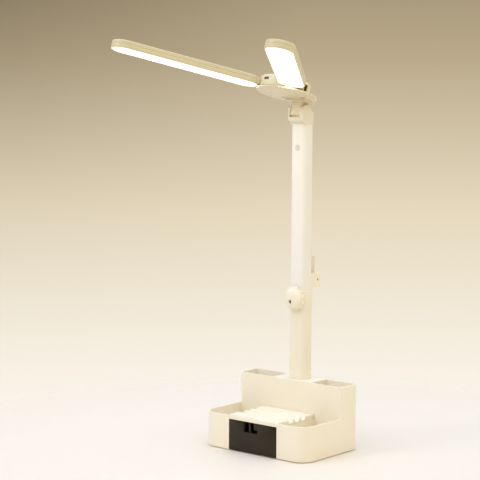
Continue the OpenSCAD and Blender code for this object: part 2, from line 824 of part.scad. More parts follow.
module hook_bracket() {
    y0 = upper_back;
    z0 = lower_top + bracket_foot;
    color(ivory) at_post() difference() {
        translate([-bracket_w / 2, y0, z0]) cube([bracket_w, bracket_l, bracket_h]);
        translate([-bracket_w / 2 + cheek_t, y0 + bracket_base_t, z0 - over])
            cube([bracket_w - 2 * cheek_t, bracket_l, bracket_h + 2 * over]);
        translate([0, hook_y, hook_z]) rod_x(hook_pin_r + seat_air, bracket_w + 2 * over);
        for (z = bracket_screw_z) translate([0, y0 + bracket_base_t + over, z])
            rod_front(front_screw_r + seat_air, bracket_base_t + 2 * over);
    }
}

module bracket_screws() {
    color(steel) at_post() for (z = bracket_screw_z) translate([0, upper_back + bracket_base_t, z]) {
        rod_front(front_screw_r, bracket_base_t + tube_t);
        translate([0, front_screw_head_t, 0]) rod_front(front_screw_head, front_screw_head_t);
    }
}

module hook_pin() {
    color(steel) at_post() translate([0, hook_y, hook_z]) rod_x(hook_pin_r, bracket_w - 2 * hook_pin_in);
}

module tilt_pin() {
    color(steel) at_post() translate([0, tilt_y, tilt_z]) rod_x(tilt_pin_r, head_w - 2 * cap_t);
}

module pin_caps() {
    color(ivory) at_post() for (side = [-1, 1])
        translate([side * (head_w / 2 - cap_t / 2), tilt_y, tilt_z]) rod_x(cap_r, cap_t);
}

// Hook body
module hook_arm() {
    w = bracket_w - 2 * cheek_t - 2 * fork_air;
    color(ivory) at_post() difference() {
        union() {
            translate([0, hook_y, hook_z]) rod_x(knuckle_r, w);
            translate([-w / 2, hook_y - knuckle_r, hook_z]) cube([w, hook_t, hook_l]);
        }
        translate([0, hook_y, hook_z]) rod_x(hook_pin_r + pin_air, w + 2 * over);
    }
}

// Head body, drawn in the hub's own frame: the wings point to -Y, Z is the height over the underside
module in_hub() {
    translate([post_x, tilt_y, tilt_z]) rotate([-rest_tilt, 0, 0])
        translate([0, -hub_reach, hub_up]) children();
}

module hub_base() {
    color(ivory) in_hub() difference() {
        union() {
            cylinder(r = hub_r, h = disc_t);
            translate([0, hub_reach, -hub_up]) rod_x(tongue_r, tongue_w);
            translate([-tongue_w / 2, hub_reach - tongue_front, -hub_up - tongue_low])
                cube([tongue_w, tongue_front + tongue_back, hub_up + tongue_low + disc_t]);
            translate([0, 0, -pad_drop]) linear_extrude(pad_drop + disc_t) platform_plan(0, pad_front);
            for (side = [-1, 1]) translate([side * pivot_x, -pivot_fwd, 0])
                cylinder(r = pivot_r + hub_wall, h = neck_lift - pivot_air);
            for (p = hub_screw_places) translate(p) cylinder(r = hub_boss_r, h = disc_t + hub_boss_h);
        }
        translate([0, hub_reach, -hub_up]) rod_x(tilt_pin_r + pin_air, tongue_w + 2 * over);
        for (side = [-1, 1]) translate([side * pivot_x, -pivot_fwd, disc_t - pivot_seat])
            cylinder(r = pivot_r + seat_air, h = hub_h);
        for (p = hub_screw_places) translate([p[0], p[1], -over])
            cylinder(r = boss_hole_r + seat_air, h = hub_h);
        for (p = hub_screw_places) translate([p[0], p[1], -over])
            cylinder(r = head_r + socket_air, h = head_t + over);
    }
}

module hub_cover() {
    chamfer = hub_wall;
    roof = hub_h - hub_wall;
    color(ivory) in_hub() difference() {
        union() {
            difference() {
                union() {
                    translate([0, -puck_fwd, 0]) rotate_extrude() polygon([[0, disc_t], [puck_r, disc_t],
                        [puck_r, hub_h - chamfer], [puck_r - chamfer, hub_h], [0, hub_h]]);
                    translate([0, 0, disc_t]) linear_extrude(platform_h - disc_t)
                        platform_plan(0, platform_front);
                }
                translate([0, -puck_fwd, disc_t - over])
                    cylinder(r = puck_r - hub_wall, h = roof - disc_t + over);
                translate([0, 0, disc_t - over]) linear_extrude(platform_h - hub_wall - disc_t + over)
                    platform_plan(hub_wall, platform_front);
            }
            for (p = hub_screw_places) translate([p[0], p[1], disc_t + hub_boss_h])
                cylinder(r = hub_boss_r, h = roof - disc_t - hub_boss_h + hub_wall / 2);
        }
        for (side = [0, 1]) mirror([side, 0, 0]) translate([0, 0, neck_lift - slot_air])
            linear_extrude(neck_t + 2 * slot_air) swing_slot();
        for (p = hub_screw_places) translate([p[0], p[1], disc_t])
            cylinder(r = boss_hole_r, h = roof - disc_t);
        translate([window_x, -puck_fwd - puck_r, window_z])
            cube([window_w, 2 * (window_in + window_t), window_h], center = true);
    }
}
// Outline of the back platform from a place behind the hub's middle, drawn in by a distance
module platform_plan(inset, front) {
    translate([0, (front + platform_back) / 2])
        rounded(platform_w - 2 * inset, platform_back - front - 2 * inset, platform_r - inset);
}
// Opening in the hub's side that the right wing's neck swings in
module swing_slot() {
    toward = [sin(wing_spread), -cos(wing_spread)];
    inward = [-cos(wing_spread), -sin(wing_spread)] * (neck_w / 2 + slot_air);
    a = [pivot_x, -pivot_fwd] + inward;
    b = a + toward * hub_r;
    polygon([a, b, [2 * hub_r, b[1]], [2 * hub_r, slot_back], [pivot_x, slot_back]]);
    translate([pivot_x, -pivot_fwd]) circle(neck_w / 2 + slot_air);
}

module hub_screws() {
    color(steel) in_hub() for (p = hub_screw_places) translate(p)
        screw(boss_hole_r, disc_t + hub_boss_h + screw_reach, head_r, head_t);
}

module friction_washers() {
    color(steel) at_post() for (side = [-1, 1])
        translate([side * (tongue_w / 2 + washer_t / 2), tilt_y, tilt_z]) difference() {
            rod_x(washer_r, washer_t);
            rod_x(tilt_pin_r + pin_air, washer_t + 2 * over);
        }
}

module wing_pivots() {
    top = neck_lift + neck_t + pivot_air;
    color(steel) in_hub() for (side = [-1, 1]) translate([side * pivot_x, -pivot_fwd, 0]) {
        translate([0, 0, disc_t - pivot_seat]) cylinder(r = pivot_r, h = top - disc_t + pivot_seat);
        translate([0, 0, top]) cylinder(r = pivot_head_r, h = pivot_head_t);
    }
}

module hub_board() {
    color(board_green) in_hub()
        translate([-hub_pcb_w / 2, hub_pcb_y, disc_t]) cube([hub_pcb_w, hub_pcb_d, board_t]);
}

module sensor_window() {
    color(smoke) in_hub() translate([window_x, window_in - puck_fwd - puck_r, window_z])
        cube([window_w, window_t, window_h], center = true);
}

// Wings, drawn in the pivot's own frame: the wing points to -Y
module in_wing(side) {
    in_hub() mirror([side, 0, 0]) translate([pivot_x, -pivot_fwd, 0]) rotate([0, 0, wing_spread]) children();
}
// Outline of a wing, drawn in by a distance on all sides
module wing_plan(inset) {
    r = wing_w / 2 - inset;
    near = -wing_gap - wing_w / 2;
    far = -wing_gap - wing_l + wing_w / 2;
    translate([0, near]) circle(r);
    translate([0, far]) circle(r);
    translate([-r, far]) square([2 * r, near - far]);
}
module slab(z, t, inset) { translate([0, 0, z]) linear_extrude(t) wing_plan(inset); }
module neck(air) {
    translate([0, 0, neck_lift - air]) linear_extrude(neck_t + 2 * air) {
        circle(neck_w / 2 + air);
        translate([-neck_w / 2 - air, -wing_gap - neck_bite])
            square([neck_w + 2 * air, wing_gap + neck_bite]);
    }
}

module wing_frame(side) {
    ledge_z = wing_lift + diffuser_t + part_air;
    color(ivory) in_wing(side) difference() {
        union() {
            difference() {
                slab(wing_lift, frame_t, 0);
                slab(wing_lift - over, frame_t + 2 * over, wing_wall);
            }
            difference() {
                slab(ledge_z, ledge_t, wing_wall);
                slab(ledge_z - over, ledge_t + 2 * over, wing_wall + ledge_w);
            }
            difference() {
                neck(0);
                slab(wing_lift - over, wing_t, wing_wall);
            }
        }
        translate([0, 0, wing_lift - over]) cylinder(r = pivot_r + pin_air, h = wing_t + 2 * over);
    }
}

module wing_cover(side) {
    z = wing_lift + frame_t;
    color(ivory) in_wing(side) difference() {
        slab(z, wing_t - frame_t, 0);
        slab(z - over, wing_t - frame_t - wing_wall + over, wing_wall);
        neck(seat_air);
    }
}

module diffuser(side) {
    color(glow) in_wing(side) slab(wing_lift, diffuser_t, wing_wall + part_air);
}

module light_guide(side) {
    color("white") in_wing(side)
        slab(wing_lift + diffuser_t + part_air + ledge_t, guide_t, wing_wall + part_air);
}

module led_board(side) {
    color("whitesmoke") in_wing(side)
        slab(wing_lift + diffuser_t + part_air + ledge_t + guide_t, board_t, wing_wall + part_air);
}

base_shell();
device_rest();
bottom_cover();
ballast_plate();
grip_pad();
cover_screws();
drawer_runners();
post_socket();
socket_screws();
battery_pack();
control_board();
board_screws();
usb_port();
lower_post();
clamp_collar();
drawer_box();
notch_ribs();
drawer_front();
front_screws();
clamp_knob();
clamp_screw();
upper_post();
slide_plug();
post_head();
head_screws();
touch_board();
touch_key();
indicator_light();
hook_bracket();
bracket_screws();
hook_pin();
tilt_pin();
pin_caps();
hook_arm();
hub_base();
hub_cover();
hub_screws();
friction_washers();
wing_pivots();
hub_board();
sensor_window();
wing_frame(1);  // left_wing_frame
wing_cover(1);  // left_wing_cover
diffuser(1);  // left_diffuser
light_guide(1);  // left_light_guide
led_board(1);  // left_led_board
wing_frame(0);  // right_wing_frame
wing_cover(0);  // right_wing_cover
diffuser(0);  // right_diffuser
light_guide(0);  // right_light_guide
led_board(0);  // right_led_board
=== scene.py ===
import json
import math

import bmesh
import bpy
import numpy as np
from mathutils import Matrix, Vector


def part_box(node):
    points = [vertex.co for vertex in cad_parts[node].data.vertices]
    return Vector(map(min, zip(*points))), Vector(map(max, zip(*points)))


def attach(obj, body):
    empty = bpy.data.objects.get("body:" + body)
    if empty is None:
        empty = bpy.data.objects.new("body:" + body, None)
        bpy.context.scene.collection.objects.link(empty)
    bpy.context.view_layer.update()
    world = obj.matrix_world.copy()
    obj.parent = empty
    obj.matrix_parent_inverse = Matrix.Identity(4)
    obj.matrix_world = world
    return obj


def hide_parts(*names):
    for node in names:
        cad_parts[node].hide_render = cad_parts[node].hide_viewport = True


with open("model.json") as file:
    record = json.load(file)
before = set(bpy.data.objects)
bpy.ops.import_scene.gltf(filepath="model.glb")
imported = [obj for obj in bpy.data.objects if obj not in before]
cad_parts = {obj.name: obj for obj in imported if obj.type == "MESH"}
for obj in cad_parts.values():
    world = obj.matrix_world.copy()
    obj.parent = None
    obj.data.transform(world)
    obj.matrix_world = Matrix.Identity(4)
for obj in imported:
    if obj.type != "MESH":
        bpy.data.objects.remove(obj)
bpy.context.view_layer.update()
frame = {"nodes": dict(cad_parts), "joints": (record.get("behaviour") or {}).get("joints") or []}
mm = 0.001

# Camera
# A long lens stands to the drawer's right, about as high as the hub, and looks slightly down on the lamp.
camera_place = (1.365, -1.713, 0.515)
camera_azimuth, camera_pitch, camera_roll = 39.94, 6.30, 0.30
lens_length, sensor_width = 127.5, 36.0


def look_matrix(azimuth, pitch, roll):
    """Columns are the camera's right, up and back axes, from angles in degrees: the view runs along
    (-sin a, cos a), tips down by the pitch and rolls about itself."""
    a, e, r = (math.radians(v) for v in (azimuth, pitch, roll))
    forward = np.array([-math.sin(a) * math.cos(e), math.cos(a) * math.cos(e), -math.sin(e)])
    level = np.array([math.cos(a), math.sin(a), 0.0])
    lift = np.cross(level, forward)
    right = math.cos(r) * level + math.sin(r) * lift
    up = -math.sin(r) * level + math.cos(r) * lift
    return np.column_stack([right, up, -forward])


eye = bpy.data.cameras.new("eye")
eye.lens, eye.sensor_width, eye.clip_end = lens_length, sensor_width, 30.0
camera = bpy.data.objects.new("camera", eye)
axes = look_matrix(camera_azimuth, camera_pitch, camera_roll)
pose = np.eye(4)
pose[:3, :3], pose[:3, 3] = axes, camera_place
camera.matrix_world = Matrix(pose.tolist())
bpy.context.scene.collection.objects.link(camera)
bpy.context.scene.camera = camera
bpy.context.scene.view_settings.view_transform = "Standard"


# Studio: table, backdrop and lamps
# The lamp stands on a near-white table top that melts into a backdrop, taupe above and cream below.
# A large soft box stands front left, a cool one hangs overhead, and the room gives a warm fill.
def shader_tree(owner):
    """The empty node tree of a material or a world, and short calls that add and join its nodes."""
    owner.use_nodes = True
    tree = owner.node_tree
    tree.nodes.clear()

    def add(kind, **values):
        node = tree.nodes.new(kind)
        for key, value in values.items():
            if key in node.inputs:
                node.inputs[key].default_value = value
            else:
                setattr(node, key, value)
        return node

    return add, tree.links.new


def srgb(red, green, blue):
    """Linear colour of an sRGB triple written in 0 to 255, with full alpha."""
    c = np.array([red, green, blue]) / 255.0
    linear = np.where(c <= 0.04045, c / 12.92, ((c + 0.055) / 1.055) ** 2.4)
    return (*linear.tolist(), 1.0)


def colour_ramp(add, stops):
    """A colour ramp with (place, colour) stops."""
    node = add("ShaderNodeValToRGB")
    ramp = node.color_ramp
    while len(ramp.elements) > 1:
        ramp.elements.remove(ramp.elements[-1])
    ramp.elements[0].position, ramp.elements[0].color = stops[0]
    for place, colour in stops[1:]:
        ramp.elements.new(place).color = colour
    return node


def remap(add, low, high, start=0.0, end=1.0, **values):
    """A clamped node that takes low to start and high to end, in a straight line unless told otherwise."""
    node = add("ShaderNodeMapRange", clamp=True, **values)
    for key, value in (("From Min", low), ("From Max", high), ("To Min", start), ("To Max", end)):
        node.inputs[key].default_value = value
    return node


backdrop_low, backdrop_top, ceiling_top = -0.26, 0.04, 0.94
backdrop_share = (backdrop_top - backdrop_low) / (ceiling_top - backdrop_low)
floor_white, paper_cream, pale_sand = srgb(251, 247, 238), srgb(249, 242, 229), srgb(230, 217, 190)
dark_sand, taupe = srgb(186, 170, 139), srgb(167, 151, 122)
backdrop_stops = [(0.0, floor_white), (0.25, paper_cream), (0.56, pale_sand), (0.86, dark_sand),
                  (1.0, taupe)]
ceiling_stops = [(0.31, srgb(236, 226, 206)), (0.40, srgb(253, 249, 240)), (1.0, srgb(255, 253, 248))]
shade_colour, shade_share, shade_power = srgb(60, 50, 36), 0.42, 3.0
shade_from, shade_to = 0.04, -0.14
fill_left, fill_right = (0.64, 0.64, 0.64, 1.0), (0.88, 0.80, 0.575, 1.0)
fill_turns_from, fill_turns_to = -0.3, 0.8
fill_ceiling, ceiling_from, straight_up = (0.34, 0.51, 0.86, 1.0), 0.25, 1.0


def studio_world():
    """Backdrop colour by the height of the line of sight, darker to the left and up, with a pale ceiling
    over the frame. Diffuse rays see a plain fill instead: warm from the right, more light from above."""
    world = bpy.data.worlds.new("studio")
    add, join = shader_tree(world)
    sight = add("ShaderNodeTexCoord")
    parts = add("ShaderNodeSeparateXYZ")
    join(sight.outputs["Generated"], parts.inputs[0])
    height = remap(add, backdrop_low, ceiling_top)
    join(parts.outputs["Z"], height.inputs["Value"])
    lower_stops = [(place * backdrop_share, colour) for place, colour in backdrop_stops]
    ramp = colour_ramp(add, lower_stops + ceiling_stops)
    join(height.outputs[0], ramp.inputs[0])
    across = add("ShaderNodeVectorMath", operation="DOT_PRODUCT")
    across.inputs[1].default_value = tuple(axes[:, 0])
    join(sight.outputs["Generated"], across.inputs[0])
    leftness = remap(add, shade_from, shade_to, end=shade_share)
    join(across.outputs["Value"], leftness.inputs["Value"])
    shown = remap(add, backdrop_low, backdrop_top)
    join(parts.outputs["Z"], shown.inputs["Value"])
    lift = add("ShaderNodeMath", operation="POWER")
    lift.inputs[1].default_value = shade_power
    join(shown.outputs[0], lift.inputs[0])
    amount = add("ShaderNodeMath", operation="MULTIPLY")
    join(leftness.outputs[0], amount.inputs[0])
    join(lift.outputs[0], amount.inputs[1])
    shaded = add("ShaderNodeMix", data_type="RGBA", blend_type="MIX")
    shaded.inputs["B"].default_value = shade_colour
    join(amount.outputs[0], shaded.inputs["Factor"])
    join(ramp.outputs["Color"], shaded.inputs["A"])
    seen = add("ShaderNodeBackground")
    join(shaded.outputs["Result"], seen.inputs["Color"])
    toward = remap(add, fill_turns_from, fill_turns_to, interpolation_type="SMOOTHSTEP")
    join(parts.outputs["X"], toward.inputs["Value"])
    tint = add("ShaderNodeMix", data_type="RGBA", blend_type="MIX")
    tint.inputs["A"].default_value, tint.inputs["B"].default_value = fill_left, fill_right
    join(toward.outputs[0], tint.inputs["Factor"])
    above = remap(add, ceiling_from, straight_up)
    join(parts.outputs["Z"], above.inputs["Value"])
    room = add("ShaderNodeMix", data_type="RGBA", blend_type="ADD")
    room.inputs["B"].default_value = fill_ceiling
    join(above.outputs[0], room.inputs["Factor"])
    join(tint.outputs["Result"], room.inputs["A"])
    fill = add("ShaderNodeBackground")
    join(room.outputs["Result"], fill.inputs["Color"])
    path = add("ShaderNodeLightPath")
    direct = add("ShaderNodeMath", operation="MAXIMUM")
    join(path.outputs["Is Camera Ray"], direct.inputs[0])
    join(path.outputs["Is Transmission Ray"], direct.inputs[1])
    visible = add("ShaderNodeMath", operation="MAXIMUM")
    join(direct.outputs[0], visible.inputs[0])
    join(path.outputs["Is Glossy Ray"], visible.inputs[1])
    choose = add("ShaderNodeMixShader")
    join(visible.outputs[0], choose.inputs[0])
    join(fill.outputs[0], choose.inputs[1])
    join(seen.outputs[0], choose.inputs[2])
    join(choose.outputs[0], add("ShaderNodeOutputWorld").inputs["Surface"])
    return world


bpy.context.scene.world = studio_world()

table_radius, table_solid, table_sides = 0.62, 0.22, 96
laminate_tint, laminate_rough, laminate_gloss = srgb(238, 226, 210), 0.55, 0.3


def table_finish():
    """Matt near-white laminate that turns clear towards its rim, so that it melts into the backdrop."""
    finish = bpy.data.materials.new("table_top")
    add, join = shader_tree(finish)
    place = add("ShaderNodeTexCoord")
    reach = add("ShaderNodeVectorMath", operation="LENGTH")
    join(place.outputs["Object"], reach.inputs[0])
    fade = remap(add, table_solid, table_radius, 1.0, 0.0, interpolation_type="SMOOTHSTEP")
    join(reach.outputs["Value"], fade.inputs["Value"])
    top = add("ShaderNodeBsdfPrincipled", Roughness=laminate_rough)
    top.inputs["Base Color"].default_value = laminate_tint
    top.inputs["Specular IOR Level"].default_value = laminate_gloss
    clear = add("ShaderNodeBsdfTransparent")
    mix = add("ShaderNodeMixShader")
    join(fade.outputs[0], mix.inputs[0])
    join(clear.outputs[0], mix.inputs[1])
    join(top.outputs[0], mix.inputs[2])
    join(mix.outputs[0], add("ShaderNodeOutputMaterial").inputs["Surface"])
    return finish


table_mesh = bpy.data.meshes.new("table_top")
turns = np.linspace(0, 2 * np.pi, table_sides, endpoint=False)
rim = np.column_stack([table_radius * np.cos(turns), table_radius * np.sin(turns), np.zeros(table_sides)])
table_mesh.from_pydata(rim.tolist(), [], [list(range(table_sides))])
table_mesh.materials.append(table_finish())
table = bpy.data.objects.new("table_top", table_mesh)
bpy.context.scene.collection.objects.link(table)


def soft_box(name, place, aim, size, power, colour):
    """A square area lamp at place, turned towards aim."""
    lamp = bpy.data.lights.new(name, "AREA")
    lamp.size, lamp.energy, lamp.color = size, power, colour
    box = bpy.data.objects.new(name, lamp)
    back = np.array(place) - np.array(aim)
    back /= np.linalg.norm(back)
    side = np.cross([0, 0, 1.0], back)
    side /= np.linalg.norm(side)
    turn = np.eye(4)
    turn[:3, :3], turn[:3, 3] = np.column_stack([side, np.cross(back, side), back]), place
    box.matrix_world = Matrix(turn.tolist())
    bpy.context.scene.collection.objects.link(box)


soft_box("key_box", place=(-1.3, -1.9, 1.7), aim=(0, 0, 0.25), size=1.3, power=15.0,
         colour=(1.0, 0.99, 0.96))
soft_box("top_box", place=(0.2, 0.1, 2.1), aim=(0, 0, 0.1), size=1.0, power=6.5,
         colour=(0.74, 0.88, 1.0))


# Base shell
# One injection-moulded ABS shell in warm ivory: low tray, raised tier with two cups, drawer bay.
# Its satin skin comes from the tool, and every rim is rounded.
ivory_light, ivory_dark = (0.925, 0.835, 0.672, 1.0), (0.905, 0.812, 0.648, 1.0)
noise_low, noise_high = 0.3, 0.7
sharp_edge = math.radians(35.0)


def moulded_plastic(name, light, dark, rough, cloud, grain, depth, coat=0.0, gloss=0.5):
    """Moulded plastic: two tints that drift into each other over patches of the cloud's size, an eroded
    grain with its own size and depth, and a sheen that is slightly uneven about rough."""
    smoother, rougher, coat_rough = 0.04, 0.05, 0.06
    finish = bpy.data.materials.new(name)
    add, join = shader_tree(finish)
    place = add("ShaderNodeTexCoord")
    drift = add("ShaderNodeTexNoise", Scale=1 / cloud, Detail=3.0, Roughness=0.5)
    join(place.outputs["Object"], drift.inputs["Vector"])
    tint = colour_ramp(add, [(noise_low, dark), (noise_high, light)])
    join(drift.outputs["Fac"], tint.inputs[0])
    skin = add("ShaderNodeTexNoise", Scale=1 / grain, Detail=2.0, Roughness=0.6)
    join(place.outputs["Object"], skin.inputs["Vector"])
    sheen = remap(add, noise_low, noise_high, rough - smoother, rough + rougher)
    join(drift.outputs["Fac"], sheen.inputs["Value"])
    bump = add("ShaderNodeBump", Strength=0.5, Distance=depth)
    join(skin.outputs["Fac"], bump.inputs["Height"])
    body = add("ShaderNodeBsdfPrincipled")
    body.inputs["Specular IOR Level"].default_value = gloss
    body.inputs["Coat Weight"].default_value = coat
    body.inputs["Coat Roughness"].default_value = coat_rough
    join(tint.outputs["Color"], body.inputs["Base Color"])
    join(sheen.outputs[0], body.inputs["Roughness"])
    join(bump.outputs[0], body.inputs["Normal"])
    join(body.outputs[0], add("ShaderNodeOutputMaterial").inputs["Surface"])
    return finish


def satin_abs(name, light, dark, rough):
    """The skin that all the lamp's visible mouldings share: slow drifts of tint over a fine grain."""
    return moulded_plastic(name, light, dark, rough, cloud=45 * mm, grain=0.35 * mm, depth=0.012 * mm)


ivory_abs = satin_abs("ivory_abs", ivory_light, ivory_dark, rough=0.32)


def softened(node, body, finish, edge, steps=3):
    """The CAD node's own shape: its triangles are merged into whole faces, and each sharp edge gives way to
    an arc that starts the given distance from it and has the given number of steps."""
    name = node + "_skin"
    weld_reach, flat_angle = 0.002 * mm, math.radians(0.5)
    mesh = frame["nodes"][node].data.copy()
    mesh.name = name
    work = bmesh.new()
    work.from_mesh(mesh)
    bmesh.ops.remove_doubles(work, verts=work.verts, dist=weld_reach)
    bmesh.ops.dissolve_limit(work, angle_limit=flat_angle, verts=work.verts, edges=work.edges)
    for face in work.faces:
        face.smooth = True
    work.to_mesh(mesh)
    work.free()
    mesh.materials.clear()
    mesh.materials.append(finish)
    piece = bpy.data.objects.new(name, mesh)
    bpy.context.scene.collection.objects.link(piece)
    round_off = piece.modifiers.new("rounding", "BEVEL")
    round_off.width, round_off.segments = edge, steps
    round_off.limit_method, round_off.angle_limit = "ANGLE", sharp_edge
    round_off.use_clamp_overlap = True
    round_off.harden_normals = True
    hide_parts(node)
    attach(piece, body)
    return piece


softened("base_shell", "base", ivory_abs, edge=1.1 * mm, steps=4)


# Device rest
# A separate moulding in the shell's own ivory ABS. It drops in over the drawer's bay, and its three
# V grooves hold a phone or tablet.
softened("device_rest", "base", ivory_abs, edge=0.7 * mm)


# Drawer
# The front is smoked near-black ABS with a polished face, screwed to its box from inside. A notch near its
# top edge takes a finger tip, with a rib and a lip behind it.
smoke_light, smoke_dark = (0.026, 0.018, 0.008, 1.0), (0.020, 0.014, 0.006, 1.0)
smoked_abs = moulded_plastic("smoked_abs", smoke_light, smoke_dark, rough=0.22, cloud=30 * mm,
                             grain=0.8 * mm, depth=0.004 * mm, gloss=0.26)
softened("drawer_front", "drawer", smoked_abs, edge=0.5 * mm)
softened("drawer_box", "drawer", smoked_abs, edge=0.3 * mm, steps=2)
softened("notch_ribs", "drawer", smoked_abs, edge=0.2 * mm, steps=2)


# Hidden works of the base
# Steel ballast, rubber pad, cover, runners, socket, battery, board and inlet sit in and under the shell.
# Plated screws hold the cover, the socket and the board. All of them keep their CAD shapes.
def dress(finish, *nodes):
    """Gives CAD nodes a finish."""
    for node in nodes:
        mesh = frame["nodes"][node].data
        mesh.materials.clear()
        mesh.materials.append(finish)


def drawn_metal(name, colour, rough, streak):
    """Plated or rolled metal with fine streaks along Z and an uneven sheen."""
    streak_squash, smoother, rougher = 0.08, 0.06, 0.08
    finish = bpy.data.materials.new(name)
    add, join = shader_tree(finish)
    place = add("ShaderNodeTexCoord")
    stretch = add("ShaderNodeMapping")
    stretch.inputs["Scale"].default_value = (1.0, 1.0, streak_squash)
    join(place.outputs["Object"], stretch.inputs["Vector"])
    lines = add("ShaderNodeTexNoise", Scale=1 / streak, Detail=3.0)
    join(stretch.outputs[0], lines.inputs["Vector"])
    sheen = remap(add, noise_low, noise_high, rough - smoother, rough + rougher)
    join(lines.outputs["Fac"], sheen.inputs["Value"])
    body = add("ShaderNodeBsdfPrincipled", Metallic=1.0)
    body.inputs["Base Color"].default_value = colour
    join(sheen.outputs[0], body.inputs["Roughness"])
    bump = add("ShaderNodeBump", Strength=0.4, Distance=0.01 * mm)
    join(lines.outputs["Fac"], bump.inputs["Height"])
    join(bump.outputs[0], body.inputs["Normal"])
    join(body.outputs[0], add("ShaderNodeOutputMaterial").inputs["Surface"])
    return finish


zinc_steel = drawn_metal("zinc_steel", (0.62, 0.62, 0.63, 1.0), rough=0.30, streak=0.4 * mm)
ballast_steel = drawn_metal("ballast_steel", (0.30, 0.30, 0.31, 1.0), rough=0.48, streak=2.0 * mm)
pad_rubber = moulded_plastic("pad_rubber", (0.035, 0.034, 0.033, 1.0), (0.022, 0.021, 0.020, 1.0),
                             rough=0.85, cloud=20 * mm, grain=0.6 * mm, depth=0.08 * mm)
dark_nylon = moulded_plastic("dark_nylon", (0.11, 0.105, 0.10, 1.0), (0.08, 0.077, 0.073, 1.0),
                             rough=0.55, cloud=25 * mm, grain=0.4 * mm, depth=0.03 * mm)
board_mask = moulded_plastic("board_mask", (0.012, 0.105, 0.045, 1.0), (0.008, 0.075, 0.030, 1.0),
                             rough=0.35, cloud=6 * mm, grain=0.5 * mm, depth=0.02 * mm, coat=0.3)
cell_wrap = moulded_plastic("cell_wrap", (0.020, 0.085, 0.26, 1.0), (0.014, 0.065, 0.21, 1.0),
                            rough=0.30, cloud=15 * mm, grain=1.5 * mm, depth=0.03 * mm, coat=0.3)
dress(ivory_abs, "bottom_cover", "drawer_runners")
dress(zinc_steel, "cover_screws", "socket_screws", "board_screws", "usb_port", "front_screws")
dress(ballast_steel, "ballast_plate")
dress(pad_rubber, "grip_pad")
dress(dark_nylon, "post_socket", "slide_plug")
dress(board_mask, "control_board", "touch_board", "hub_board")
dress(cell_wrap, "battery_pack")


# Post tubes and clamp collar
# Two drawn aluminium tubes slide in each other. The lower is powder coated ivory and the upper a paler
# cream, and a moulded ivory collar round the lower one's top holds the clamp screw.
def powder_coat(name, light, dark):
    """Satin powder coat: a fine orange peel over a tint that drifts slowly along the tube."""
    finish = bpy.data.materials.new(name)
    add, join = shader_tree(finish)
    place = add("ShaderNodeTexCoord")
    drift = add("ShaderNodeTexNoise", Scale=12.0, Detail=2.0)
    join(place.outputs["Object"], drift.inputs["Vector"])
    tint = colour_ramp(add, [(noise_low, dark), (noise_high, light)])
    join(drift.outputs["Fac"], tint.inputs[0])
    peel = add("ShaderNodeTexVoronoi", Scale=1400.0, feature="SMOOTH_F1")
    join(place.outputs["Object"], peel.inputs["Vector"])
    bump = add("ShaderNodeBump", Strength=0.35, Distance=0.02 * mm)
    join(peel.outputs["Distance"], bump.inputs["Height"])
    body = add("ShaderNodeBsdfPrincipled", Roughness=0.36)
    join(tint.outputs["Color"], body.inputs["Base Color"])
    join(bump.outputs[0], body.inputs["Normal"])
    join(body.outputs[0], add("ShaderNodeOutputMaterial").inputs["Surface"])
    return finish


ivory_coat = powder_coat("ivory_coat", ivory_light, ivory_dark)
pale_coat = powder_coat("pale_coat", (0.905, 0.855, 0.775, 1.0), (0.89, 0.835, 0.75, 1.0))
dress(ivory_coat, "lower_post")
dress(pale_coat, "upper_post")
softened("clamp_collar", "base", ivory_abs, edge=0.35 * mm)


# Clamp knob
# A scalloped ivory ABS knob, pressed on the end of the clamp screw. Its low crown has an off-centre eyelet
# for a strap.
knob_radius, knob_grip, knob_crown = 16 * mm, 4 * mm, 5.5 * mm
knob_edge, crown_inset = 0.8 * mm, 2.2 * mm
flute_count, flute_depth, flute_start = 12, 1.5 * mm, 0.98
eyelet_turn, eyelet_reach, eyelet_radius, eyelet_slim = math.radians(252), 3.8 * mm, 2.4 * mm, 1.4
eyelet_depth, eyelet_slope = 2.5 * mm, 0.12 * mm
lip_radius, lip_width, lip_height = 3.2 * mm, 0.6 * mm, 0.45 * mm
edge_points, crown_points, knob_points = 7, 46, 288
# Painted shade: the faces inside the eyelet get a near-black finish that stands in for the shade in the
# hole.
eyelet_painted_shade = moulded_plastic("eyelet_painted_shade", (0.010, 0.009, 0.008, 1.0), (0.006, 0.005, 0.005, 1.0),
                            rough=0.6, cloud=10 * mm, grain=0.5 * mm, depth=0.02 * mm)


def moulded_skin(name, grid, body, finishes, face_finish=None):
    """A mesh from a grid of points (u, v, 3) that closes along u: quads between neighbours, poles and seams
    merged, faces out, smooth up to the sharp edges."""
    weld_reach, thin_edge = 0.001 * mm, 0.0005 * mm
    count = grid.shape[0] * grid.shape[1]
    index = np.arange(count).reshape(grid.shape[:2])
    index = np.vstack([index, index[:1]])
    here, after = index[:-1], index[1:]
    quads = np.stack([here[:, :-1], after[:, :-1], after[:, 1:], here[:, 1:]], axis=-1).reshape(-1, 4)
    mesh = bpy.data.meshes.new(name)
    mesh.from_pydata(grid.reshape(-1, 3).tolist(), [], quads.tolist())
    if face_finish is not None:
        mesh.polygons.foreach_set("material_index", face_finish(grid.reshape(-1, 3)[quads].mean(axis=1)))
    work = bmesh.new()
    work.from_mesh(mesh)
    bmesh.ops.remove_doubles(work, verts=work.verts, dist=weld_reach)
    bmesh.ops.dissolve_degenerate(work, edges=work.edges, dist=thin_edge)
    bmesh.ops.recalc_face_normals(work, faces=work.faces)
    work.to_mesh(mesh)
    work.free()
    mesh.polygons.foreach_set("use_smooth", np.ones(len(mesh.polygons), bool))
    mesh.set_sharp_from_angle(angle=sharp_edge)
    for finish in finishes:
        mesh.materials.append(finish)
    piece = bpy.data.objects.new(name, mesh)
    bpy.context.scene.collection.objects.link(piece)
    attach(piece, body)
    return piece


